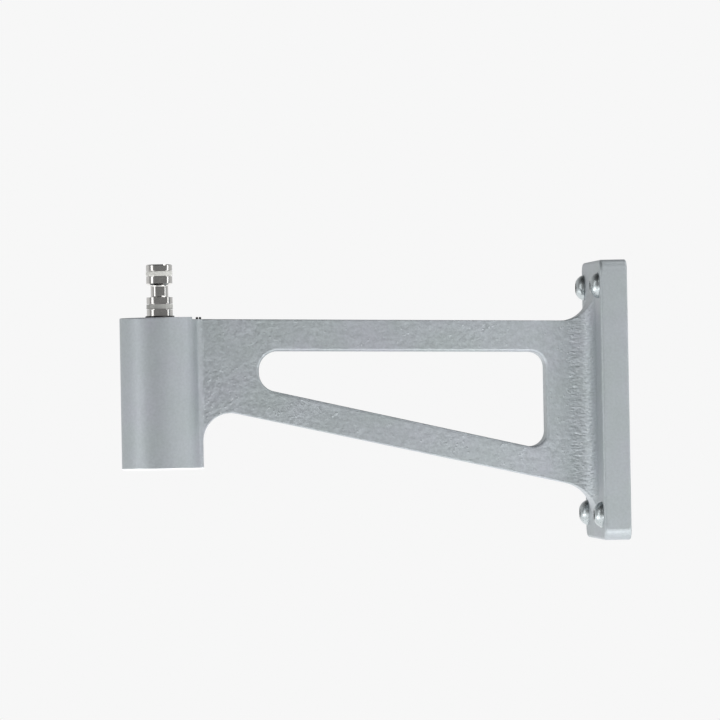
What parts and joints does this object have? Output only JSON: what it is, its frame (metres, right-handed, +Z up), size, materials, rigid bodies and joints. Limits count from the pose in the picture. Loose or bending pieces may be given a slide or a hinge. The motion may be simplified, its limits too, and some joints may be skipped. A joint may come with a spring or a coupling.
{
  "type": "swivel wall bracket",
  "caption": "Cast wall bracket arm with a screwed wall flange, a windowed tapering web and an upright barrel whose waisted steel spigot swivels on ball bearings.",
  "frame": {"origin": "centre of the wall flange's back face, the face that lies against the wall", "axes": "+X out of the wall face into the wall, so the arm reaches along -X; +Z up, along the spigot; +Y to the side"},
  "size_m": [0.2726, 0.086, 0.1537],
  "materials": {
    "cast_body": "silver-grey paint over a sand-cast surface",
    "polished_steel": "turned and polished stainless steel",
    "zinc_steel": "bright zinc plated",
    "bearing_steel": "ground bearing steel",
    "blackened_steel": "black oxide",
    "spacer_aluminium": "turned",
    "ring_plastic": "natural off-white nylon",
    "cage_plastic": "moulded nylon",
    "cap_plastic": "moulded, fine grain",
    "seal_rubber": "moulded nitrile rubber"
  },
  "bodies": {
    "bracket": {"bracket_casting": "cast_body", "flange_screws": "zinc_steel", "stop_screw": "blackened_steel", "shaft_seal": "seal_rubber", "barrel_cap": "cap_plastic", "snap_ring": "blackened_steel", "outer_spacer": "spacer_aluminium", "upper_bearing_outer_race": "bearing_steel", "upper_bearing_shields": "bearing_steel", "lower_bearing_outer_race": "bearing_steel", "lower_bearing_shields": "bearing_steel"},
    "spindle": {"spindle": "polished_steel", "upper_spigot_ring": "ring_plastic", "lower_spigot_ring": "ring_plastic", "upper_bearing_inner_race": "bearing_steel", "lower_bearing_inner_race": "bearing_steel", "inner_spacer": "bearing_steel", "lock_washer": "blackened_steel", "lock_nut": "blackened_steel"},
    "upper_ball_set": {"upper_bearing_balls": "bearing_steel", "upper_bearing_cage": "cage_plastic"},
    "lower_ball_set": {"lower_bearing_balls": "bearing_steel", "lower_bearing_cage": "cage_plastic"}
  },
  "joints": [
    {"name": "spigot_swivel", "type": "hinge", "parent": "bracket", "child": "spindle", "pos_m": [-0.2506, 0, 0.0355], "axis": [0, 0, 1], "continuous": true},
    {"name": "upper_balls_roll", "type": "hinge", "parent": "bracket", "child": "upper_ball_set", "pos_m": [-0.2506, 0, 0.0355], "axis": [0, 0, 1], "continuous": true},
    {"name": "lower_balls_roll", "type": "hinge", "parent": "bracket", "child": "lower_ball_set", "pos_m": [-0.2506, 0, -0.015], "axis": [0, 0, 1], "continuous": true}
  ],
  "couplings": [
    {"joint": "upper_balls_roll", "follows": "spigot_swivel", "ratio": 0.381},
    {"joint": "lower_balls_roll", "follows": "spigot_swivel", "ratio": 0.381}
  ]
}
